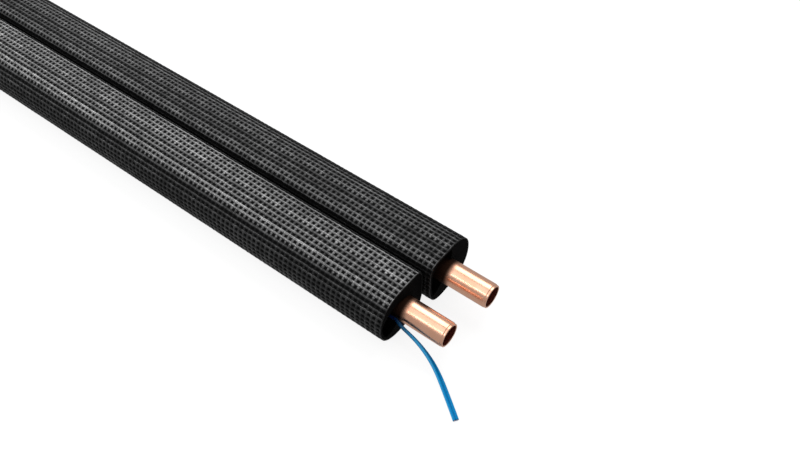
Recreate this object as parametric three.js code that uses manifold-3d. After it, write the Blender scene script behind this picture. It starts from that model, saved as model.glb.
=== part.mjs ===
// Pre-insulated solar twin pipe: two copper tubes, each in a D-shaped foam insulation with a thin
// textured jacket, laid side by side with their joined sides together. A flat two-core sensor cable
// runs beside the flow tube in the foam's pocket, comes out at the near end and droops to the floor.
// Millimetres, +Z up, +X along the pipe to the near end, +Y from the flow line to the return line.
// The origin is on the floor, under the middle of the pair.
import * as THREE from "three";
import Module from "manifold-3d";
import { mergeVertices } from "three/addons/utils/BufferGeometryUtils.js";

const wasm = await Module();
wasm.setup();

// Stock length: each line's insulated length, and how far the return line is slid towards +X
const INSULATED_LENGTH = 2000;
const LINE_STAGGER = 4.3;

// Copper tube, with a stepped-in lip and a slight inward burr at each cut end
const TUBE_OUTER_DIAMETER = 15;
const TUBE_WALL = 1;
const STUB_LENGTH = 30.5;
const TUBE_SIDES = 48;
const LIP_LENGTH = 1.4;
const LIP_SLOPE = 0.4;
const LIP_STEP = 0.3;
const BURR_LENGTH = 0.5;
const BURR_HEIGHT = 0.2;

// Foam insulation: its wall on the outer side, on the joined side, and above and below the tube
const BORE_CLEARANCE = 0.25;
const FOAM_WALL_OUTER = 13.05;
const FOAM_WALL_JOINED = 8.6;
const FOAM_WALL_HEIGHT = 9.65;
const LAND_HALF_WIDTH = 3;
const OUTER_SQUARENESS = 2.2;
const JOINED_TOP_SQUARENESS = 5;
const JOINED_BOTTOM_SQUARENESS = 2.5;
const OUTLINE_STEPS = 14;

// Jacket around the foam, as thick as its embossed film stands, and the clearance between the two
const JACKET_WALL = 0.8;
const JACKET_CLEARANCE = 0.2;
const JACKET_TO_JACKET = 0.3;

// Pocket in the foam beside each tube: an elliptic channel, which the foam's skin closes outside.
// beyond is its middle's distance past the bore and rise its height over the tube's axis.
const POCKET_SKIN = 1.5;
const POCKET_STEPS = 40;
const FLOW_POCKET = { beyond: 2.2, rise: -0.2, long: 26, wide: 17, tilt: 38 };
const RETURN_POCKET = { beyond: 0.3, rise: 4.2, long: 33, wide: 18, tilt: 56 };

// Flat two-core sensor cable. It leans at an angle from +Y against the flow tube's outer side.
const CABLE_WIDTH = 3.4;
const CABLE_THICKNESS = 1.9;
const CABLE_CHAMFER = 0.55;
const CABLE_CLEARANCE = 0.3;
const CABLE_LEAN = 118;
const CABLE_FLOOR_CLEARANCE = 0.1;
const TAIL_STEP_WIDTHS = 2;
const TAIL_STRAIGHT_LENGTH = 1.5;
const TAIL_TURN_START = 10;
const TAIL_TURN_END = 56;

// Route of the free cable end past the flow line's end face: along X from that face, along Y from
// the flow tube's axis, and the height of the cable's underside over the floor
const TAIL_ROUTE = [
  [3.6, -9.8, 17.2],
  [7.0, -10.7, 16.7],
  [12.3, -11.2, 15.3],
  [17.7, -11.5, 12.9],
  [22.4, -11.9, 9.9],
  [26.7, -12.5, 6.7],
  [30.7, -13.6, 4.0],
  [34.7, -15.4, 2.1],
  [38.6, -17.7, 1.1],
  [42.5, -20.3, 0.55],
  [46.5, -23.1, 0.25],
  [51.4, -26.6, 0.05],
  [57.1, -30.8, 0],
];

const tubeRadius = TUBE_OUTER_DIAMETER / 2;
const boreRadius = tubeRadius + BORE_CLEARANCE;
const jacketLayer = JACKET_CLEARANCE + JACKET_WALL;
const outerReach = boreRadius + FOAM_WALL_OUTER + jacketLayer;
const joinedReach = boreRadius + FOAM_WALL_JOINED + jacketLayer;
const axisHeight = boreRadius + FOAM_WALL_HEIGHT + jacketLayer;
const axisOffset = joinedReach + JACKET_TO_JACKET / 2;
const cutPast = 2 * STUB_LENGTH;

const flowLine = { name: "flow", side: -1, slide: -LINE_STAGGER / 2, pocket: FLOW_POCKET };
const returnLine = { name: "return", side: 1, slide: LINE_STAGGER / 2, pocket: RETURN_POCKET };

const finishes = {
  copper: { color: 0xd08a66, roughness: 0.2, metalness: 1 },
  foam: { color: 0x1f1f20, roughness: 0.95, metalness: 0 },
  jacket: { color: 0x2a2a2c, roughness: 0.5, metalness: 0 },
  cable: { color: 0x1484c8, roughness: 0.3, metalness: 0 },
};

function piece(name, geometry, finish) {
  const mesh = new THREE.Mesh(geometry, new THREE.MeshStandardMaterial(finishes[finish]));
  mesh.name = name;
  return mesh;
}

// Turns a geometry drawn as a section in X and Y with its length on Z so that its length is on +X
function layAlongPipe(mesh) {
  const alongY = new THREE.Vector3(0, 1, 0);
  const alongZ = new THREE.Vector3(0, 0, 1);
  const alongX = new THREE.Vector3(1, 0, 0);
  mesh.setRotationFromMatrix(new THREE.Matrix4().makeBasis(alongY, alongZ, alongX));
  return mesh;
}

function prism(shape, length) {
  const settings = { depth: length, bevelEnabled: false, curveSegments: POCKET_STEPS };
  return new THREE.ExtrudeGeometry(shape, settings).translate(0, 0, -length / 2);
}

function toSolid(geometry) {
  geometry.deleteAttribute("normal");
  geometry.deleteAttribute("uv");
  const merged = mergeVertices(geometry);
  const vertProperties = new Float32Array(merged.attributes.position.array);
  const triVerts = new Uint32Array(merged.index.array);
  return new wasm.Manifold(new wasm.Mesh({ numProp: 3, vertProperties, triVerts }));
}

function toGeometry(solid) {
  const { vertProperties, triVerts } = solid.getMesh();
  const geometry = new THREE.BufferGeometry();
  geometry.setAttribute("position", new THREE.BufferAttribute(vertProperties, 3));
  geometry.setIndex(new THREE.BufferAttribute(triVerts, 1));
  return geometry;
}

// The D-shaped section, inset from the jacket's outside: a round half towards side, a squarer half
// towards the other line, and a flat land above and below between them. Its points always run
// counter-clockwise, so that a smaller outline can be a hole in a larger one.
function sectionOutline(side, inset) {
  const halves = [
    { way: side, reach: outerReach - inset, top: OUTER_SQUARENESS, bottom: OUTER_SQUARENESS, start: 90 },
    {
      way: -side,
      reach: joinedReach - inset,
      top: JOINED_TOP_SQUARENESS,
      bottom: JOINED_BOTTOM_SQUARENESS,
      start: -90,
    },
  ];
  const points = [];
  for (const { way, reach, top, bottom, start } of halves) {
    for (let step = 0; step <= 2 * OUTLINE_STEPS; step++) {
      const angle = THREE.MathUtils.degToRad(start * (1 - step / OUTLINE_STEPS));
      const power = 2 / (Math.sin(angle) > 0 ? top : bottom);
      const across = Math.abs(Math.cos(angle)) ** power;
      const up = Math.sign(Math.sin(angle)) * Math.abs(Math.sin(angle)) ** power;
      const y = way * (LAND_HALF_WIDTH + (reach - LAND_HALF_WIDTH) * across);
      points.push(new THREE.Vector2(y, up * (axisHeight - inset)));
    }
  }
  return side > 0 ? points.reverse() : points;
}

function copperTube(line) {
  const half = INSULATED_LENGTH / 2 + STUB_LENGTH;
  const bore = tubeRadius - TUBE_WALL;
  const lip = tubeRadius - LIP_STEP;
  const burr = bore - BURR_HEIGHT;
  const nearEnd = [
    [tubeRadius, half - LIP_LENGTH],
    [lip, half - LIP_LENGTH + LIP_SLOPE],
    [lip, half],
    [burr, half],
    [bore, half - BURR_LENGTH],
  ];
  const farEnd = nearEnd.map(([radius, along]) => [radius, -along]).reverse();
  const outline = [...nearEnd, ...farEnd, nearEnd[0]];
  const profile = outline.map(([radius, along]) => new THREE.Vector2(radius, along));
  const geometry = new THREE.LatheGeometry(profile, TUBE_SIDES).rotateX(Math.PI / 2);
  return piece(`${line.name}_copper_tube`, geometry, "copper");
}

function foamInsulation(line) {
  const { beyond, rise, long, wide, tilt } = line.pocket;
  const boreShape = new THREE.Shape().absarc(0, 0, boreRadius, 0, 2 * Math.PI);
  const angle = THREE.MathUtils.degToRad(tilt);
  const middle = -(boreRadius + beyond);
  const pocketShape = new THREE.Shape();
  pocketShape.absellipse(middle, rise, long / 2, wide / 2, 0, 2 * Math.PI, false, angle);
  const insideSkin = new THREE.Shape(sectionOutline(line.side, jacketLayer + POCKET_SKIN));
  const cutLength = INSULATED_LENGTH + cutPast;
  const pocket = toSolid(prism(pocketShape, cutLength)).intersect(toSolid(prism(insideSkin, cutLength)));
  const foamShape = new THREE.Shape(sectionOutline(line.side, jacketLayer));
  const foam = toSolid(prism(foamShape, INSULATED_LENGTH));
  const cut = foam.subtract(toSolid(prism(boreShape, cutLength))).subtract(pocket);
  return piece(`${line.name}_foam`, toGeometry(cut), "foam");
}

function jacket(line) {
  const shape = new THREE.Shape(sectionOutline(line.side, 0));
  shape.holes.push(new THREE.Path(sectionOutline(line.side, JACKET_WALL)));
  return piece(`${line.name}_jacket`, prism(shape, INSULATED_LENGTH), "jacket");
}

// The cable's section, wide along X, turned by an angle
function cableSection(turn) {
  const side = CABLE_WIDTH / 2;
  const flat = CABLE_THICKNESS / 2;
  const corners = [
    [side, flat - CABLE_CHAMFER],
    [side - CABLE_CHAMFER, flat],
    [CABLE_CHAMFER - side, flat],
    [-side, flat - CABLE_CHAMFER],
    [-side, CABLE_CHAMFER - flat],
    [CABLE_CHAMFER - side, -flat],
    [side - CABLE_CHAMFER, -flat],
    [side, CABLE_CHAMFER - flat],
  ];
  const centre = new THREE.Vector2();
  return new THREE.Shape(corners.map(([x, y]) => new THREE.Vector2(x, y).rotateAround(centre, turn)));
}

// Middle of the cable in the flow line's section: level with the tube, its low edge towards it
function cableSeat() {
  const lean = THREE.MathUtils.degToRad(CABLE_LEAN);
  const straight = (CABLE_WIDTH - CABLE_THICKNESS) / 2;
  const halfAcross = CABLE_THICKNESS / 2 + straight * Math.abs(Math.cos(lean));
  return { y: -(tubeRadius + CABLE_CLEARANCE + halfAcross), lean };
}

function sensorCableRun() {
  const { y, lean } = cableSeat();
  const run = piece("sensor_cable_run", prism(cableSection(lean), INSULATED_LENGTH), "cable");
  run.position.y = y;
  return run;
}

// The free end starts standing as the run does, and turns about its own length until it lies flat
function sensorCableTail() {
  const { y, lean } = cableSeat();
  const face = INSULATED_LENGTH / 2;
  const underside = CABLE_THICKNESS / 2 + CABLE_FLOOR_CLEARANCE - axisHeight;
  const start = new THREE.Vector3(face + CABLE_CLEARANCE, y, 0);
  const straight = new THREE.Vector3(start.x + TAIL_STRAIGHT_LENGTH, y, 0);
  const free = TAIL_ROUTE.map(([along, across, height]) =>
    new THREE.Vector3(face + along, across, underside + height));
  const path = new THREE.CatmullRomCurve3([start, straight, ...free]);
  const length = path.getLength();
  const steps = Math.round(length / (TAIL_STEP_WIDTHS * CABLE_WIDTH));
  const settings = { steps, bevelEnabled: false, extrudePath: path };
  const geometry = new THREE.ExtrudeGeometry(cableSection(0), settings);

  const { tangents, normals, binormals } = path.computeFrenetFrames(steps, false);
  const centres = path.getSpacedPoints(steps);
  const turnTo = (step, way) => Math.atan2(way.dot(binormals[step]), way.dot(normals[step]));
  const standing = new THREE.Vector3(0, Math.cos(lean), Math.sin(lean));
  const lying = new THREE.Vector3().crossVectors(tangents[steps], new THREE.Vector3(0, 0, 1));
  const firstTurn = turnTo(0, standing);
  const lastTurn = turnTo(steps, lying);
  const corner = new THREE.Vector3();
  const { position } = geometry.attributes;
  for (let index = 0; index < position.count; index++) {
    corner.fromBufferAttribute(position, index);
    const distances = centres.map((centre) => centre.distanceTo(corner));
    const step = distances.indexOf(Math.min(...distances));
    const turned = THREE.MathUtils.smoothstep(step * length / steps, TAIL_TURN_START, TAIL_TURN_END);
    const turn = THREE.MathUtils.lerp(firstTurn, lastTurn, turned);
    corner.sub(centres[step]).applyAxisAngle(tangents[step], turn).add(centres[step]);
    position.setXYZ(index, corner.x, corner.y, corner.z);
  }
  return piece("sensor_cable_tail", geometry, "cable");
}

function pipeLine(line) {
  const group = new THREE.Group();
  group.position.set(line.slide, line.side * axisOffset, axisHeight);
  group.add(layAlongPipe(copperTube(line)));
  group.add(layAlongPipe(foamInsulation(line)));
  group.add(layAlongPipe(jacket(line)));
  return group;
}

const twinPipe = new THREE.Group();
const flow = pipeLine(flowLine);
flow.add(layAlongPipe(sensorCableRun()));
flow.add(sensorCableTail());
twinPipe.add(flow);
twinPipe.add(pipeLine(returnLine));

export default twinPipe;
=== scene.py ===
# Looks of the pre-insulated solar twin pipe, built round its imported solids.
# Metres, +Z up, +X along the pipe to the near end, +Y from the flow line to the return line.
import math

import bpy
import numpy as np
from mathutils import Matrix, Vector


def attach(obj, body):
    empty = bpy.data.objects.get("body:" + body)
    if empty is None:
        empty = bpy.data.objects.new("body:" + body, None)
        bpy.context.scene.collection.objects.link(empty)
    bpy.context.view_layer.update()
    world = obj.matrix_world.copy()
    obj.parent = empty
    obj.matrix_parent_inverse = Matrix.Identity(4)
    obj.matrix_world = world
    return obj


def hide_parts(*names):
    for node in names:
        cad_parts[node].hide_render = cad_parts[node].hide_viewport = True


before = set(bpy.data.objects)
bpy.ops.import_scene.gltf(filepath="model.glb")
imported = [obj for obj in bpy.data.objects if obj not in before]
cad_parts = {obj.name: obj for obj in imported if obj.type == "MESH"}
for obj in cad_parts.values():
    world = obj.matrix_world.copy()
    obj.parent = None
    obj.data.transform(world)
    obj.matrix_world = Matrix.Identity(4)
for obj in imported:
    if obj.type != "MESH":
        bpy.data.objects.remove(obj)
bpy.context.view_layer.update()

MM = 0.001
SEED = 7
TINY = 1e-12

# Camera
CAMERA_PLACE = Vector((1.15588, -0.22931, 0.40630))
CAMERA_YAW = -0.64948
CAMERA_PITCH = 0.87632
CAMERA_LENS = 38.25
CAMERA_SENSOR_WIDTH = 36.0
CAMERA_NEAREST = 0.01

# Section of one insulated line, as in the solids
INSULATED_LENGTH = 2.0
AXIS_HEIGHT = 18.4 * MM
AXIS_OFFSET = 17.5 * MM
OUTER_REACH = 21.8 * MM
JOINED_REACH = 17.35 * MM
LAND_HALF_WIDTH = 3 * MM
OUTER_SQUARENESS = 2.2
JOINED_TOP_SQUARENESS = 5
JOINED_BOTTOM_SQUARENESS = 2.5
OUTLINE_STEPS = 3001

# Each line's side of the middle, and how far it is slid along the pipe
LINES = {"flow": (-1, -2.15 * MM), "return": (1, 2.15 * MM)}

# Mesh film: one cell along the pipe and round the section, and the depths of its relief
CELL_ALONG = 3.5 * MM
CELL_ROUND = 3.25 * MM
LENGTHWISE_RIDGE_DIP = 0.1 * MM
CROSS_RIDGE_DIP = 0.24 * MM
PIT_DEPTH = 0.84 * MM
FILM_INSIDE = 0.96 * MM
SELVAGE = 1.6 * MM
SELVAGE_FLAT = 0.3 * SELVAGE
SELVAGE_DIP = 0.25 * MM
CELL_JITTER = 0.06 * MM
ROW_JITTER = 0.12 * MM
BAR_JITTER = 0.3 * MM
WANDER = 0.16 * MM

# Slow waves of the wrapped film: how deep, and down to which dip a point follows them.
# Each wave has its length in metres, its count round the section and its share.
WAVE_DEPTH = 0.1 * MM
WAVES_DOWN_TO = 0.3 * MM
FILM_WAVES = [
    (0.31, 2, 0.4),
    (0.127, 3, 0.3),
    (0.053, 5, 0.3),
]

# Mesh film's gloss, which also lightens its base colour: the ridges' by line, and the share that is left
# low on the sides as painted shade
FILM_GLOSS = {"flow": 2.35, "return": 1.02}
LOW_SIDE_SHARE = 0.26
SHADED_BELOW = 31 * MM
UNSHADED_ABOVE = 35.5 * MM

# Gloss by chance, from least to most: of a valley's cross bars, a lengthwise ridge, a knot, a patch
BAR_LOT = (0.45, 1.15)
ROW_LOT = (0.6, 1.4)
KNOT_LOT = (0.65, 1.35)
PATCH_LOT = (0.75, 1.25)

# Gloss and painted highlight of the cross bars beside the lengthwise ridges, of all crests, and what a
# knot adds as gloss and painted glint
CROSS_BAR_GLOSS = 0.85
CREST_GLOSS_AND_HIGHLIGHT = 0.85
CREST_SHARPNESS = 1.6
KNOT_GLOSS_AND_GLINT = 0.55

# Film's roughness in a pit and on a ridge, and what the grain adds
PIT_ROUGHNESS = 0.7
RIDGE_ROUGHNESS = 0.4
GRAIN_ROUGHNESS = 0.22

# Fine relief, as shares of a lengthwise ridge's rounded top
CROSS_BAR_RISE = 0.9
KNOT_RISE = 0.45
LUMP_RISE = 0.8
GRAIN_RISE = 0.12

# Where a ridge and a knot stop being whole and where they end, in cells from their middle
RIDGE_EDGE = (0.12, 0.32)
KNOT_EDGE = (0.06, 0.26)
ROUNDED_EDGE = (0, 0.36)

# Copper tube, with its stepped-in lip and the inward burr at the cut
TUBE_RADIUS = 7.5 * MM
TUBE_BORE = 6.5 * MM
TUBE_HALF_LENGTH = 1.0305
TUBE_SIDES = 120
TUBE_END_DETAIL_FROM = 0.95
LIP_DROP = 0.3 * MM
LIP_START = 1.6 * MM
LIP_SLOPE = 0.5 * MM
LIP_STEPS = 6
LIP_ROUNDING = 0.22 * MM
BURR_HEIGHT = 0.2 * MM
BURR_ROUNDING = 0.12 * MM
BURR_LEAN = 0.03 * MM
BURR_TOP = 0.3 * MM
BURR_START = 0.7 * MM
ROUNDING_STEPS = 4

# Painted shade on the copper's start by the foam, with added roughness: full up to here from the
# insulation's middle, and none from there
COPPER_SHADED_UNTIL = 1.002
COPPER_UNSHADED_FROM = 1.0068
ROOT_ROUGHNESS = 0.4

# Free end of the sensor cable: its middle line, and its section
CABLE_PATH = [
    (0.99815, -0.026602, 0.01840),
    (0.99965, -0.026602, 0.01840),
    (1.00145, -0.02730, 0.01825),
    (1.00485, -0.02820, 0.01775),
    (1.01015, -0.02870, 0.01635),
    (1.01555, -0.02900, 0.01395),
    (1.02025, -0.02940, 0.01095),
    (1.02455, -0.03000, 0.00775),
    (1.02855, -0.03110, 0.00505),
    (1.03255, -0.03290, 0.00315),
    (1.03645, -0.03520, 0.00215),
    (1.04035, -0.03780, 0.00160),
    (1.04435, -0.04060, 0.00130),
    (1.04925, -0.04410, 0.00110),
    (1.05495, -0.04830, 0.00105),
]
CURVE_STEPS = 60
CABLE_WIDTH = 3.4 * MM
CABLE_THICKNESS = 1.9 * MM
CABLE_LEAN = math.radians(118)
CABLE_TURN_START = 10 * MM
CABLE_TURN_END = 56 * MM
CABLE_STEP = 0.6 * MM
CABLE_SIDES = 40
GROOVE_DEPTH = 0.34 * MM
GROOVE_SPREAD = 0.32 * MM
CORE_RADIUS = 0.3 * MM
CORE_SUNK = 0.4 * MM
CORE_PROUD = 0.12 * MM
CORE_ROUNDING = 0.7
CORE_SIDES = 16

# Painted shade on the cable's start, where it leaves the foam pocket: full up to here along the pipe, and
# none from there
CABLE_SHADED_UNTIL = 0.998
CABLE_UNSHADED_FROM = 1.023

# Sheath's painted light across its half width: where the painted shade in the groove ends, and where the
# painted highlight at the edge starts
GROOVE_SHADE_UNTIL = 0.3
EDGE_HIGHLIGHT_SPAN = (0.62, 0.95)
EDGE_HIGHLIGHT_SHARE = 0.75

# Finest relief of the foam, as a share of its cell walls
FOAM_FINE_RISE = 0.4

# Colours. A pair goes from dark to light.
FILM_BLACKS_SHADED_TO_LIT = ((0.0012, 0.0012, 0.0013), (0.02, 0.0204, 0.0212))
FILM_EDGE_BLACKS = ((0.003, 0.003, 0.0032), (0.009, 0.009, 0.0094))
FOAM_BLACKS = ((0.0012, 0.0012, 0.0012), (0.004, 0.004, 0.0041))
FOAM_OPEN_CELL = (0.0008, 0.0008, 0.0008)
COPPER_PAINTED_SHADE = (0.03, 0.014, 0.009)
COPPER_STAINED = (0.88, 0.46, 0.30)
COPPER_CLEAN = (0.93, 0.53, 0.37)
OXIDE_BROWNS = ((0.1, 0.013, 0.006), (0.2, 0.03, 0.013))
SHEATH_PAINTED_SHADE = (0.0, 0.006, 0.035)
SHEATH_GROOVE_SHADE = (0.0, 0.125, 0.335)
SHEATH_BLUES = ((0.0, 0.18, 0.43), (0.0, 0.215, 0.49))
SHEATH_EDGE_HIGHLIGHT = (0.07, 0.42, 0.75)
FLOOR_GREY = (0.2, 0.2, 0.2)
WHITE = (1, 1, 1)

# Surroundings. Each light has its place, its target, its width and height, and its power.
WORLD_STRENGTH = 0.45
FLOOR_GLOW = 0.85
FLOOR_REACH = 300
FLOOR_DROP = 0.2 * MM
LIGHTS = {
    "back_softbox": ((0.1, 0.98, 1.57), (0.6, 0, 0), (2.8, 1.35), 30),
    "front_softbox": ((0.25, -0.7, 1.55), (0.8, 0, 0), (2.8, 1.9), 16),
    "front_strip": ((0.37, -0.96, 1.05), (0.95, 0, 0.02), (2.0, 0.1), 3.4),
}

random = np.random.default_rng(SEED)


class Paint:
    """A material, with short calls for the nodes that feed its one shader."""

    def __init__(self, name, fixed):
        self.material = bpy.data.materials.new(name)
        self.material.use_nodes = True
        self.shader = self.material.node_tree.nodes["Principled BSDF"]
        for socket, value in fixed.items():
            self.set(socket, value)

    def feed(self, socket, value):
        """Links another node's output to a socket, or sets the socket to a value."""
        if isinstance(value, bpy.types.NodeSocket):
            self.material.node_tree.links.new(value, socket)
        elif socket.type == "RGBA":
            socket.default_value = (*value, 1)
        else:
            socket.default_value = value

    def set(self, socket, value):
        self.feed(self.shader.inputs[socket], value)

    def node(self, kind, inputs, **settings):
        made = self.material.node_tree.nodes.new(kind)
        for key, value in settings.items():
            setattr(made, key, value)
        for socket, value in inputs.items():
            self.feed(made.inputs[socket], value)
        return made

    def calculate(self, operation, first, second=0.0):
        return self.node("ShaderNodeMath", {0: first, 1: second}, operation=operation).outputs[0]

    def add(self, first, second):
        return self.calculate("ADD", first, second)

    def multiply(self, first, second):
        return self.calculate("MULTIPLY", first, second)

    def span(self, value, low, high, to_low=0.0, to_high=1.0, smooth=False):
        """value taken from low..high to to_low..to_high, and held outside."""
        inputs = {"Value": value, "From Min": low, "From Max": high, "To Min": to_low, "To Max": to_high}
        kind = "SMOOTHSTEP" if smooth else "LINEAR"
        return self.node("ShaderNodeMapRange", inputs, interpolation_type=kind).outputs[0]

    def from_noise(self, value, to_low, to_high):
        """A noise taken to to_low..to_high. Nearly all of a noise lies between 0.3 and 0.7."""
        return self.span(value, 0.3, 0.7, to_low, to_high)

    def fade(self, distance, edge, height=1):
        """height up to the first edge, falling smoothly to nothing at the second."""
        return self.span(distance, *edge, height, 0, smooth=True)

    def mix(self, share, first, second):
        """The colour first, going to second as share goes from 0 to 1."""
        inputs = {"Factor": share, 6: first, 7: second}
        return self.node("ShaderNodeMix", inputs, data_type="RGBA").outputs[2]

    def parts(self, vector):
        return self.node("ShaderNodeSeparateXYZ", {0: vector}).outputs

    def place(self):
        """The place on the object in metres."""
        return self.node("ShaderNodeTexCoord", {}).outputs["Object"]

    def stretched(self, stretch):
        inputs = {0: self.place(), 1: stretch}
        return self.node("ShaderNodeVectorMath", inputs, operation="MULTIPLY").outputs[0]

    def noise(self, scale, detail, stretch=(1, 1, 1)):
        inputs = {"Vector": self.stretched(stretch), "Scale": scale, "Detail": detail}
        return self.node("ShaderNodeTexNoise", inputs).outputs["Fac"]

    def lot(self, dimensions, socket, value, bounds):
        """A random number within bounds for each value."""
        inputs = {socket: value}
        drawn = self.node("ShaderNodeTexWhiteNoise", inputs, noise_dimensions=dimensions).outputs[0]
        return self.span(drawn, 0, 1, *bounds)

    def bump(self, height, strength, distance):
        inputs = {"Height": height, "Strength": strength, "Distance": distance}
        normal = self.node("ShaderNodeBump", inputs).outputs[0]
        self.set("Normal", normal)
        return normal


def mesh_film_material(name, gloss, cells_round):
    """Black embossed film: glossy rounded ridges in a square net, and matte dark pits between them. Its
    base colour paints shade in the pits and highlights on the crests and knots.

    The map named cells counts cells round the section and along the pipe. A whole number is a ridge.
    """
    paint = Paint(name, {"Coat Roughness": 0.2, "Specular IOR Level": 0.06})
    cells = paint.parts(paint.node("ShaderNodeUVMap", {}, uv_map="cells").outputs[0])
    from_lengthwise = paint.calculate("PINGPONG", cells[0], 0.5)
    from_cross = paint.calculate("PINGPONG", cells[1], 0.5)

    # Each lengthwise ridge, each knot and each valley's cross bars have a gloss of their own
    row = paint.calculate("MODULO", paint.calculate("ROUND", cells[0]), cells_round)
    ring = paint.calculate("ROUND", cells[1])
    knot = paint.node("ShaderNodeCombineXYZ", {0: row, 1: ring}).outputs[0]
    valley = paint.calculate("FLOOR", cells[0])
    of_bar = paint.lot("1D", "W", valley, BAR_LOT)
    of_row = paint.lot("1D", "W", row, ROW_LOT)
    of_knot = paint.lot("2D", "Vector", knot, KNOT_LOT)

    # The net seen from above: 1 on a ridge and 0 in a pit
    lengthwise = paint.fade(from_lengthwise, RIDGE_EDGE)
    cross = paint.multiply(paint.fade(from_cross, RIDGE_EDGE, CROSS_BAR_GLOSS), of_bar)
    ridge = paint.calculate("MAXIMUM", lengthwise, cross)
    knot_spot = paint.multiply(paint.fade(from_cross, KNOT_EDGE), paint.fade(from_lengthwise, KNOT_EDGE))

    # Gloss, which also lightens the base colour: in scuffed patches, less low on the sides as painted
    # shade, and most on the knots, with a painted glint
    patches = paint.noise(scale=60, detail=4, stretch=(0.25, 1, 1))
    grain = paint.noise(scale=1400, detail=2)
    lumps = paint.noise(scale=420, detail=2)
    scuffs = paint.from_noise(patches, PATCH_LOT[0] * gloss, PATCH_LOT[1] * gloss)
    # Painted shade: the film is darker and less glossy low on the sides, below the second height
    height = paint.parts(paint.place())[2]
    painted_shade_low = paint.span(height, SHADED_BELOW, UNSHADED_ABOVE, LOW_SIDE_SHARE, 1, smooth=True)
    scuffs = paint.multiply(scuffs, painted_shade_low)
    crest = paint.multiply(paint.calculate("POWER", ridge, CREST_SHARPNESS), CREST_GLOSS_AND_HIGHLIGHT)
    crest = paint.add(crest, paint.multiply(knot_spot, KNOT_GLOSS_AND_GLINT))
    tone = paint.multiply(crest, paint.multiply(scuffs, paint.multiply(of_knot, of_row)))
    # Base colour from the same tone: painted shade in the pits, painted highlights on the crests and knots
    paint.set("Base Color", paint.mix(tone, *FILM_BLACKS_SHADED_TO_LIT))
    paint.set("Coat Weight", tone)
    dull = paint.span(ridge, 0, 1, PIT_ROUGHNESS, RIDGE_ROUGHNESS)
    paint.set("Roughness", paint.add(dull, paint.multiply(grain, GRAIN_ROUGHNESS)))

    # Relief finer than the mesh: the ridges' round tops, the knots, and the film's own roughness
    tops = paint.fade(from_lengthwise, ROUNDED_EDGE)
    bar_tops = paint.fade(from_cross, ROUNDED_EDGE, CROSS_BAR_RISE)
    relief = paint.calculate("MAXIMUM", tops, bar_tops)
    relief = paint.add(relief, paint.multiply(knot_spot, KNOT_RISE))
    relief = paint.add(relief, paint.multiply(lumps, LUMP_RISE))
    relief = paint.add(relief, paint.multiply(grain, GRAIN_RISE))
    normal = paint.bump(relief, strength=0.8, distance=0.4 * MM)
    paint.set("Coat Normal", normal)
    return paint.material


def film_edge_material():
    """The film's plain cut edge and its inside."""
    paint = Paint("film_edge", {"Specular IOR Level": 0.15})
    speckle = paint.noise(scale=900, detail=3)
    paint.set("Base Color", paint.mix(speckle, *FILM_EDGE_BLACKS))
    paint.set("Roughness", paint.from_noise(speckle, to_low=0.45, to_high=0.65))
    return paint.material


def foam_material():
    """Closed-cell rubber foam: fine cells cut open, and slow changes of tone."""
    paint = Paint("foam", {"Specular IOR Level": 0.04})
    cells = paint.node("ShaderNodeTexVoronoi", {"Vector": paint.place(), "Scale": 1900})
    walls = paint.span(cells.outputs["Distance"], low=0.1, high=0.75)
    tone = paint.noise(scale=130, detail=4)
    paint.set("Base Color", paint.mix(walls, FOAM_OPEN_CELL, paint.mix(tone, *FOAM_BLACKS)))
    paint.set("Roughness", paint.from_noise(tone, to_low=0.85, to_high=0.98))
    fine = paint.noise(scale=2600, detail=2)
    relief = paint.add(walls, paint.multiply(fine, FOAM_FINE_RISE))
    paint.bump(relief, strength=0.45, distance=0.15 * MM)
    return paint.material


def copper_material(name, slide):
    """Drawn copper: bright, with fine lengthwise draw marks, faint stains, and painted shade at its start
    by the foam.
    """
    paint = Paint(name, {"Metallic": 1.0})
    draw_marks = paint.noise(scale=1100, detail=3, stretch=(0.05, 1, 1))
    stains = paint.noise(scale=110, detail=4)
    stained = paint.span(stains, low=0.42, high=0.72)
    colour = paint.mix(stained, COPPER_CLEAN, COPPER_STAINED)
    # Painted shade on the tube's start by the foam, fading out along the tube, which is also made rougher
    # there
    along = paint.parts(paint.place())[0]
    from_middle = paint.calculate("ABSOLUTE", paint.calculate("SUBTRACT", along, slide))
    unshaded = paint.span(from_middle, COPPER_SHADED_UNTIL, COPPER_UNSHADED_FROM, smooth=True)
    paint.set("Base Color", paint.mix(unshaded, COPPER_PAINTED_SHADE, colour))
    shaded = paint.calculate("SUBTRACT", 1.0, unshaded)
    drawn = paint.from_noise(draw_marks, to_low=0.24, to_high=0.3)
    paint.set("Roughness", paint.add(drawn, paint.multiply(shaded, ROOT_ROUGHNESS)))
    paint.bump(draw_marks, strength=0.05, distance=0.05 * MM)
    return paint.material


def oxide_material():
    """The tube's inside: dull red-brown oxide."""
    paint = Paint("copper_oxide", {"Metallic": 0.4})
    mottle = paint.noise(scale=60, detail=4, stretch=(3, 10, 10))
    paint.set("Base Color", paint.mix(mottle, *OXIDE_BROWNS))
    paint.set("Roughness", paint.from_noise(mottle, to_low=0.5, to_high=0.7))
    return paint.material


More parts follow.
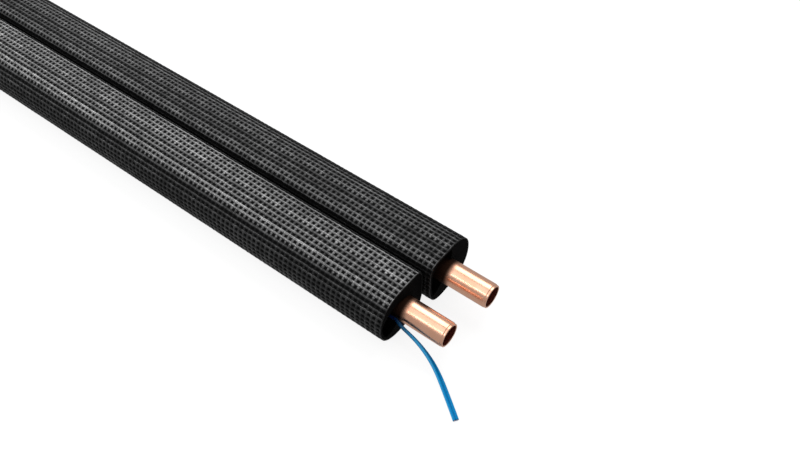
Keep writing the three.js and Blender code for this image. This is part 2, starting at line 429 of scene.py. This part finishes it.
def sheath_material():
    """Blue plastic sheath, a little translucent, with painted shade in its groove and at its start by the
    foam, and painted highlights at its thin edges.
    """
    paint = Paint("cable_sheath", {
        "Specular IOR Level": 0.06,
        "Subsurface Weight": 0.2,
        "Subsurface Radius": (0.1, 0.5, 1.0),
        "Subsurface Scale": 0.8 * MM,
    })
    cloud = paint.noise(scale=220, detail=3)
    across = paint.node("ShaderNodeAttribute", {}, attribute_name="across").outputs["Fac"]
    from_groove = paint.calculate("ABSOLUTE", across)
    # Painted shade in the groove between the cores, and a painted highlight along the thin edges
    groove = paint.span(from_groove, 0, GROOVE_SHADE_UNTIL, smooth=True)
    with_groove_shade = paint.mix(groove, SHEATH_GROOVE_SHADE, paint.mix(cloud, *SHEATH_BLUES))
    edge = paint.span(from_groove, *EDGE_HIGHLIGHT_SPAN, 0, EDGE_HIGHLIGHT_SHARE, smooth=True)
    with_edge_highlight = paint.mix(edge, with_groove_shade, SHEATH_EDGE_HIGHLIGHT)
    # Painted shade on the cable's start by the foam pocket, fading out along the pipe
    along = paint.parts(paint.place())[0]
    unshaded = paint.span(along, CABLE_SHADED_UNTIL, CABLE_UNSHADED_FROM, smooth=True)
    paint.set("Base Color", paint.mix(unshaded, SHEATH_PAINTED_SHADE, with_edge_highlight))
    paint.set("Roughness", paint.from_noise(cloud, to_low=0.24, to_high=0.34))
    fine = paint.noise(scale=500, detail=2, stretch=(1, 4, 4))
    paint.bump(fine, strength=0.08, distance=0.1 * MM)
    return paint.material


def placed(place, right, up, back):
    """The matrix of an object at place, with its own axes along right, up and back."""
    turned = Matrix((right, up, back)).transposed().to_4x4()
    return Matrix.Translation(place) @ turned


def add_camera():
    forward = Vector((
        math.cos(CAMERA_PITCH) * math.sin(CAMERA_YAW),
        math.cos(CAMERA_PITCH) * math.cos(CAMERA_YAW),
        -math.sin(CAMERA_PITCH),
    ))
    right = Vector((math.cos(CAMERA_YAW), -math.sin(CAMERA_YAW), 0))
    data = bpy.data.cameras.new("camera")
    data.lens = CAMERA_LENS
    data.sensor_width = CAMERA_SENSOR_WIDTH
    data.clip_start = CAMERA_NEAREST
    camera = bpy.data.objects.new("camera", data)
    camera.matrix_world = placed(CAMERA_PLACE, right, right.cross(forward), -forward)
    bpy.context.scene.collection.objects.link(camera)
    bpy.context.scene.camera = camera


def add_piece(name, points, faces, materials, face_materials=None):
    """A smooth-shaded mesh of the object that rides on its only body."""
    mesh = bpy.data.meshes.new(name)
    mesh.from_pydata(points, [], faces)
    for material in materials:
        mesh.materials.append(material)
    if face_materials is not None:
        mesh.polygons.foreach_set("material_index", face_materials)
    mesh.polygons.foreach_set("use_smooth", [True] * len(mesh.polygons))
    mesh.update()
    made = bpy.data.objects.new(name, mesh)
    bpy.context.scene.collection.objects.link(made)
    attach(made, "root")
    return made


def smoothstep(values, low, high):
    share = np.clip((values - low) / (high - low), 0, 1)
    return share * share * (3 - 2 * share)


def lengths_along(points):
    """How far along a line of points each of them is."""
    steps = np.linalg.norm(np.diff(points, axis=0), axis=1)
    return np.concatenate([[0], np.cumsum(steps)])


def resampled(points, along, spaced):
    """The points of a line at the lengths in spaced."""
    axes = range(points.shape[1])
    return np.stack([np.interp(spaced, along, points[:, axis]) for axis in axes], axis=1)


def angles_round(sides):
    return np.arange(sides) * 2 * math.pi / sides


def smooth_path(points, step):
    """Evenly spaced points on a centripetal Catmull-Rom curve, as in the solids."""
    knots = np.array(points)
    ends = (2 * knots[0] - knots[1], 2 * knots[-1] - knots[-2])
    knots = np.vstack([ends[0], knots, ends[1]])
    share = np.linspace(0, 1, CURVE_STEPS, endpoint=False)[:, None]
    curve = []
    for before, start, end, after in zip(knots, knots[1:], knots[2:], knots[3:]):
        pairs = ((before, start), (start, end), (end, after))
        gaps = [math.sqrt(np.linalg.norm(second - first)) for first, second in pairs]
        leave = (start - before) / gaps[0] - (end - before) / (gaps[0] + gaps[1]) + (end - start) / gaps[1]
        arrive = (end - start) / gaps[1] - (after - start) / (gaps[1] + gaps[2]) + (after - end) / gaps[2]
        leave = leave * gaps[1]
        arrive = arrive * gaps[1]
        cubic = 2 * start - 2 * end + leave + arrive
        square = 3 * end - 3 * start - 2 * leave - arrive
        curve.append(start + leave * share + square * share ** 2 + cubic * share ** 3)
    curve = np.vstack([*curve, knots[-2][None]])
    along = lengths_along(curve)
    spaced = np.linspace(0, along[-1], round(along[-1] / step) + 1)
    return spaced, resampled(curve, along, spaced)


def cable_section():
    """Two round cores side by side under one sheath: [across, up] round the section."""
    angles = angles_round(CABLE_SIDES)
    core = CABLE_THICKNESS / 2
    across = np.cos(angles) * CABLE_WIDTH / 2
    inside = np.clip(np.abs(across) - (CABLE_WIDTH / 2 - core), 0, None)
    up = np.sqrt(np.clip(core ** 2 - inside ** 2, 0, None))
    up -= GROOVE_DEPTH * np.exp(-(across / GROOVE_SPREAD) ** 2)
    off_middle = np.abs(np.sin(angles)) > TINY
    return np.stack([across, np.sign(np.sin(angles)) * up * off_middle], axis=1)


def cable_frames(along, centres):
    """Directions along, across and up at each of the cable's points: leaning first, flat at the end."""
    tangents = np.gradient(centres, axis=0)
    tangents /= np.linalg.norm(tangents, axis=1)[:, None]
    width = np.array([0, math.cos(CABLE_LEAN), math.sin(CABLE_LEAN)])
    carried = []
    for tangent in tangents:
        width = width - tangent * (width @ tangent)
        width /= np.linalg.norm(width)
        carried.append(width)
    carried = np.array(carried)
    normals = np.cross(tangents, carried)
    flat = np.cross(tangents[-1], [0, 0, 1])
    last = math.atan2(flat @ normals[-1], flat @ carried[-1])
    last -= math.pi * round(last / math.pi)
    turn = (last * smoothstep(along, CABLE_TURN_START, CABLE_TURN_END))[:, None]
    widths = carried * np.cos(turn) + normals * np.sin(turn)
    return tangents, widths, np.cross(tangents, widths)


def tube_faces(rings, sides):
    """Faces between rings of points, each ring with so many sides."""
    faces = []
    for ring in range(rings - 1):
        for side in range(sides):
            following = (side + 1) % sides
            first = ring * sides
            second = first + sides
            faces.append((first + side, first + following, second + following, second + side))
    return faces


def closed_tube_faces(rings, sides):
    """The same with a flat face at both ends."""
    last = (rings - 1) * sides
    ends = [tuple(reversed(range(sides))), tuple(range(last, last + sides))]
    return tube_faces(rings, sides) + ends


def add_core(name, material, middle, tangent, width, up):
    """The cut end of one stranded core, just proud of the sheath."""
    angles = angles_round(CORE_SIDES)
    circle = np.cos(angles)[:, None] * width + np.sin(angles)[:, None] * up
    rings = [
        middle - tangent * CORE_SUNK + circle * CORE_RADIUS,
        middle + tangent * CORE_PROUD * CORE_ROUNDING + circle * CORE_RADIUS,
        middle + tangent * CORE_PROUD + circle * CORE_RADIUS * CORE_ROUNDING,
    ]
    faces = closed_tube_faces(len(rings), CORE_SIDES)
    return add_piece(name, np.vstack(rings), faces, [material])


def add_cable_end(sheath, bare_copper):
    along, centres = smooth_path(CABLE_PATH, CABLE_STEP)
    tangents, widths, ups = cable_frames(along, centres)
    section = cable_section()
    rings = [centres + widths * across + ups * up for across, up in section]
    points = np.stack(rings, axis=1).reshape(-1, 3)
    faces = closed_tube_faces(len(centres), CABLE_SIDES)
    cable = add_piece("sensor_cable_end", points, faces, [sheath])
    across = np.tile(section[:, 0] / (CABLE_WIDTH / 2), len(centres))
    cable.data.attributes.new("across", "FLOAT", "POINT").data.foreach_set("value", across)
    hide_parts("sensor_cable_tail")
    for name, way in (("sensor_core_left", -1), ("sensor_core_right", 1)):
        middle = centres[-1] + widths[-1] * way * (CABLE_WIDTH - CABLE_THICKNESS) / 2
        add_core(name, bare_copper, middle, tangents[-1], widths[-1], ups[-1])


def section_outline(side, inset, count):
    """Evenly spaced points [y, z] round a line's section, counter-clockwise, and their outward normals.

    Without a count there are two points a cell of the mesh film.
    """
    turn = np.linspace(math.pi / 2, -math.pi / 2, OUTLINE_STEPS)
    halves = [
        (side, OUTER_REACH - inset, OUTER_SQUARENESS, OUTER_SQUARENESS, turn),
        (-side, JOINED_REACH - inset, JOINED_TOP_SQUARENESS, JOINED_BOTTOM_SQUARENESS, turn[::-1]),
    ]
    points = []
    for way, reach, top, bottom, angles in halves:
        power = np.where(np.sin(angles) > 0, 2 / top, 2 / bottom)
        across = np.clip(np.abs(np.cos(angles)), TINY, None) ** power
        up = np.sign(np.sin(angles)) * np.abs(np.sin(angles)) ** power
        y = way * (LAND_HALF_WIDTH + (reach - LAND_HALF_WIDTH) * across)
        points.append(np.stack([y, up * (AXIS_HEIGHT - inset)], axis=1))
    points = np.vstack(points)
    if side > 0:
        points = points[::-1]
    closed = np.vstack([points, points[:1]])
    along = lengths_along(closed)
    if count is None:
        count = 2 * round(along[-1] / CELL_ROUND)
    even = resampled(closed, along, np.arange(count) * along[-1] / count)
    tangents = np.roll(even, -1, axis=0) - np.roll(even, 1, axis=0)
    normals = np.stack([tangents[:, 1], -tangents[:, 0]], axis=1)
    normals /= np.linalg.norm(normals, axis=1)[:, None]
    return even, normals


def slow_wave(along, around):
    """Slow unevenness of the wrapped film, from -1 to 1."""
    total = np.zeros((len(along), len(around)))
    for length, count, share in FILM_WAVES:
        start = random.uniform(0, 2 * math.pi, 2)
        wave = np.sin(along[:, None] * 2 * math.pi / length + start[0])
        total += share * wave * np.sin(around[None] * count + start[1])
    return total


def film_dips(along, sides, relief):
    """How deep each point of the film lies under the section's outline.

    Even rings are on the cross bars and even sides on the lengthwise ridges.
    """
    on_cross = (np.arange(len(along)) % 2 == 0)[:, None]
    on_lengthwise = np.arange(sides) % 2 == 0
    dips = np.where(on_cross, CROSS_RIDGE_DIP, PIT_DEPTH)
    dips = dips + np.where(on_cross, random.uniform(0, BAR_JITTER, sides)[None], 0)
    dips = np.where(on_lengthwise[None], np.where(on_cross, 0, LENGTHWISE_RIDGE_DIP), dips)
    dips = dips + random.uniform(0, CELL_JITTER, dips.shape)
    dips = dips + np.where(on_lengthwise, random.uniform(0, ROW_JITTER, sides), 0)[None]
    wave = WAVE_DEPTH * 0.5 * (1 + slow_wave(along, angles_round(sides)))
    dips = dips + wave * np.where(dips > WAVES_DOWN_TO, 0, 1)
    return dips * relief + SELVAGE_DIP * (1 - relief)


def net_triangles(rings, sides):
    """The film's triangles, split by turns in the two ways, and their corners' places in cells."""
    ring, column = np.meshgrid(np.arange(rings - 1), np.arange(sides), indexing="ij")
    following = (column + 1) % sides
    near = ring * sides
    far = near + sides
    corners = np.stack([near + column, near + following, far + following, far + column], axis=-1)
    counted = [(column, ring), (column + 1, ring), (column + 1, ring + 1), (column, ring + 1)]
    places = np.stack([np.stack(corner, axis=-1) for corner in counted], axis=-2) / 2
    level = (ring + column) % 2 == 0
    picks = np.where(level[..., None, None], [[0, 1, 2], [0, 2, 3]], [[0, 1, 3], [1, 2, 3]])
    triangles = np.take_along_axis(corners[..., None, :], picks, axis=-1)
    cells = np.take_along_axis(places[..., None, :, :], picks[..., None], axis=-2)
    return triangles.reshape(-1, 3), cells.reshape(-1, 2)


def plain_faces(rings, sides):
    """The film's inside, and the cut edges that join it to the outside at both ends."""
    last = (rings - 1) * sides
    base = rings * sides
    faces = []
    for index in range(sides):
        after = (index + 1) % sides
        faces.append((base + after, base + index, base + sides + index, base + sides + after))
        faces.append((after, index, base + index, base + after))
        faces.append((last + index, last + after, base + sides + after, base + sides + index))
    return faces


def add_jacket(name, edge):
    side, slide = LINES[name]
    outline, normals = section_outline(side, 0, None)
    sides = len(outline)
    film = mesh_film_material(f"{name}_mesh_film", FILM_GLOSS[name], sides // 2)
    inner, _ = section_outline(side, FILM_INSIDE, sides)
    rings = 2 * round(INSULATED_LENGTH / CELL_ALONG) + 1
    along = np.linspace(-INSULATED_LENGTH / 2, INSULATED_LENGTH / 2, rings)
    from_end = INSULATED_LENGTH / 2 - np.abs(along)
    relief = smoothstep(from_end, SELVAGE_FLAT, SELVAGE)[:, None]
    dips = film_dips(along, sides, relief)
    section = outline[None] - normals[None] * dips[..., None]
    tangents = np.stack([-normals[:, 1], normals[:, 0]], axis=1)
    section = section + tangents[None] * (random.uniform(-WANDER, WANDER, dips.shape) * relief)[..., None]
    outer = np.empty((rings, sides, 3))
    outer[..., 0] = along[:, None] + slide + random.uniform(-WANDER, WANDER, dips.shape) * relief
    outer[..., 1] = section[..., 0] + side * AXIS_OFFSET
    outer[..., 2] = section[..., 1] + AXIS_HEIGHT
    inside = np.empty((2, sides, 3))
    inside[..., 0] = along[[0, -1]][:, None] + slide
    inside[..., 1] = inner[None, :, 0] + side * AXIS_OFFSET
    inside[..., 2] = inner[None, :, 1] + AXIS_HEIGHT
    points = np.vstack([outer.reshape(-1, 3), inside.reshape(-1, 3)])

    triangles, cells = net_triangles(rings, sides)
    plain = plain_faces(rings, sides)
    is_plain = np.concatenate([np.zeros(len(triangles), int), np.ones(len(plain), int)])
    faces = triangles.tolist() + plain
    piece = add_piece(f"{name}_mesh_jacket", points, faces, [film, edge], is_plain)
    values = np.zeros((len(piece.data.loops), 2))
    values[: len(cells)] = cells
    piece.data.uv_layers.new(name="cells").data.foreach_set("uv", values.ravel())
    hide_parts(f"{name}_jacket")


def tube_profile():
    """[radius, distance from the middle] of the tube's near half, from the outside round to the bore."""
    end = TUBE_HALF_LENGTH
    lip = TUBE_RADIUS - LIP_DROP
    burr = TUBE_BORE - BURR_HEIGHT
    profile = [(TUBE_RADIUS, TUBE_END_DETAIL_FROM), (TUBE_RADIUS, end - LIP_START)]
    for step in range(1, LIP_STEPS + 1):
        share = step / LIP_STEPS
        drop = 0.5 * (1 - math.cos(math.pi * share))
        profile.append((TUBE_RADIUS - LIP_DROP * drop, end - LIP_START + LIP_SLOPE * share))
    turns = [math.radians(90 * step / ROUNDING_STEPS) for step in range(ROUNDING_STEPS + 1)]
    for turn in turns:
        inward = LIP_ROUNDING * (1 - math.cos(turn))
        profile.append((lip - inward, end - LIP_ROUNDING * (1 - math.sin(turn))))
    for turn in turns:
        outward = BURR_ROUNDING * (1 - math.sin(turn))
        profile.append((burr + outward, end - BURR_ROUNDING * (1 - math.cos(turn))))
    profile.append((burr + BURR_LEAN, end - BURR_TOP))
    profile.append((TUBE_BORE, end - BURR_START))
    profile.append((TUBE_BORE, TUBE_END_DETAIL_FROM))
    return profile


def add_tube(name, outside, inside):
    side, slide = LINES[name]
    near = tube_profile()
    profile = near + [(radius, -along) for radius, along in reversed(near)]
    angles = angles_round(TUBE_SIDES)
    rings = []
    for radius, along in profile:
        ring = np.empty((TUBE_SIDES, 3))
        ring[:, 0] = along + slide
        ring[:, 1] = radius * np.cos(angles) + side * AXIS_OFFSET
        ring[:, 2] = radius * np.sin(angles) + AXIS_HEIGHT
        rings.append(ring)
    points = np.vstack(rings)
    faces = []
    for face in tube_faces(len(rings) + 1, TUBE_SIDES):
        faces.append(tuple(corner % len(points) for corner in face))
    bore_rings = {len(near) - 2, len(near) - 1, len(near)}
    in_bore = [1 if face // TUBE_SIDES in bore_rings else 0 for face in range(len(faces))]
    piece = add_piece(f"{name}_tube", points, faces, [outside, inside], in_bore)
    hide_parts(f"{name}_copper_tube")


def dress(node, material):
    """Gives a solid that keeps its shape its material."""
    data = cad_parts[node].data
    data.materials.clear()
    data.materials.append(material)


def add_floor():
    """A pale floor that only the camera sees, so it doesn't light or mirror in the object."""
    mesh = bpy.data.meshes.new("floor")
    corners = [(x * FLOOR_REACH, y * FLOOR_REACH, 0) for x, y in ((-1, -1), (1, -1), (1, 1), (-1, 1))]
    mesh.from_pydata(corners, [], [(0, 1, 2, 3)])
    paint = Paint("pale_floor", {
        "Base Color": FLOOR_GREY,
        "Roughness": 0.9,
        "Specular IOR Level": 0.0,
        "Emission Color": WHITE,
        "Emission Strength": FLOOR_GLOW,
    })
    mesh.materials.append(paint.material)
    floor = bpy.data.objects.new("floor", mesh)
    floor.location = (0, 0, -FLOOR_DROP)
    floor.visible_diffuse = False
    floor.visible_glossy = False
    floor.visible_transmission = False
    floor.visible_shadow = False
    bpy.context.scene.collection.objects.link(floor)


def add_light(name, place, target, size, power):
    """A soft rectangular light at place, turned to target, with its long side along the pipe."""
    data = bpy.data.lights.new(name, "AREA")
    data.shape = "RECTANGLE"
    data.size, data.size_y = size
    data.energy = power
    light = bpy.data.objects.new(name, data)
    back = (Vector(place) - Vector(target)).normalized()
    up = back.cross(Vector((1, 0, 0))).normalized()
    light.matrix_world = placed(place, up.cross(back), up, back)
    bpy.context.scene.collection.objects.link(light)


def light_the_scene():
    scene = bpy.context.scene
    scene.view_settings.view_transform = "Standard"
    world = bpy.data.worlds.new("studio")
    world.use_nodes = True
    background = world.node_tree.nodes["Background"]
    background.inputs["Color"].default_value = (*WHITE, 1)
    background.inputs["Strength"].default_value = WORLD_STRENGTH
    scene.world = world
    for name, facts in LIGHTS.items():
        add_light(name, *facts)


add_camera()
copper = {line: copper_material(f"{line}_copper", slide) for line, (_, slide) in LINES.items()}
oxide = oxide_material()
sheath = sheath_material()
add_cable_end(sheath, copper["flow"])
film_edge = film_edge_material()
for line in LINES:
    add_jacket(line, film_edge)
    add_tube(line, copper[line], oxide)
foam = foam_material()
dress("flow_foam", foam)
dress("return_foam", foam)
dress("sensor_cable_run", sheath)
add_floor()
light_the_scene()
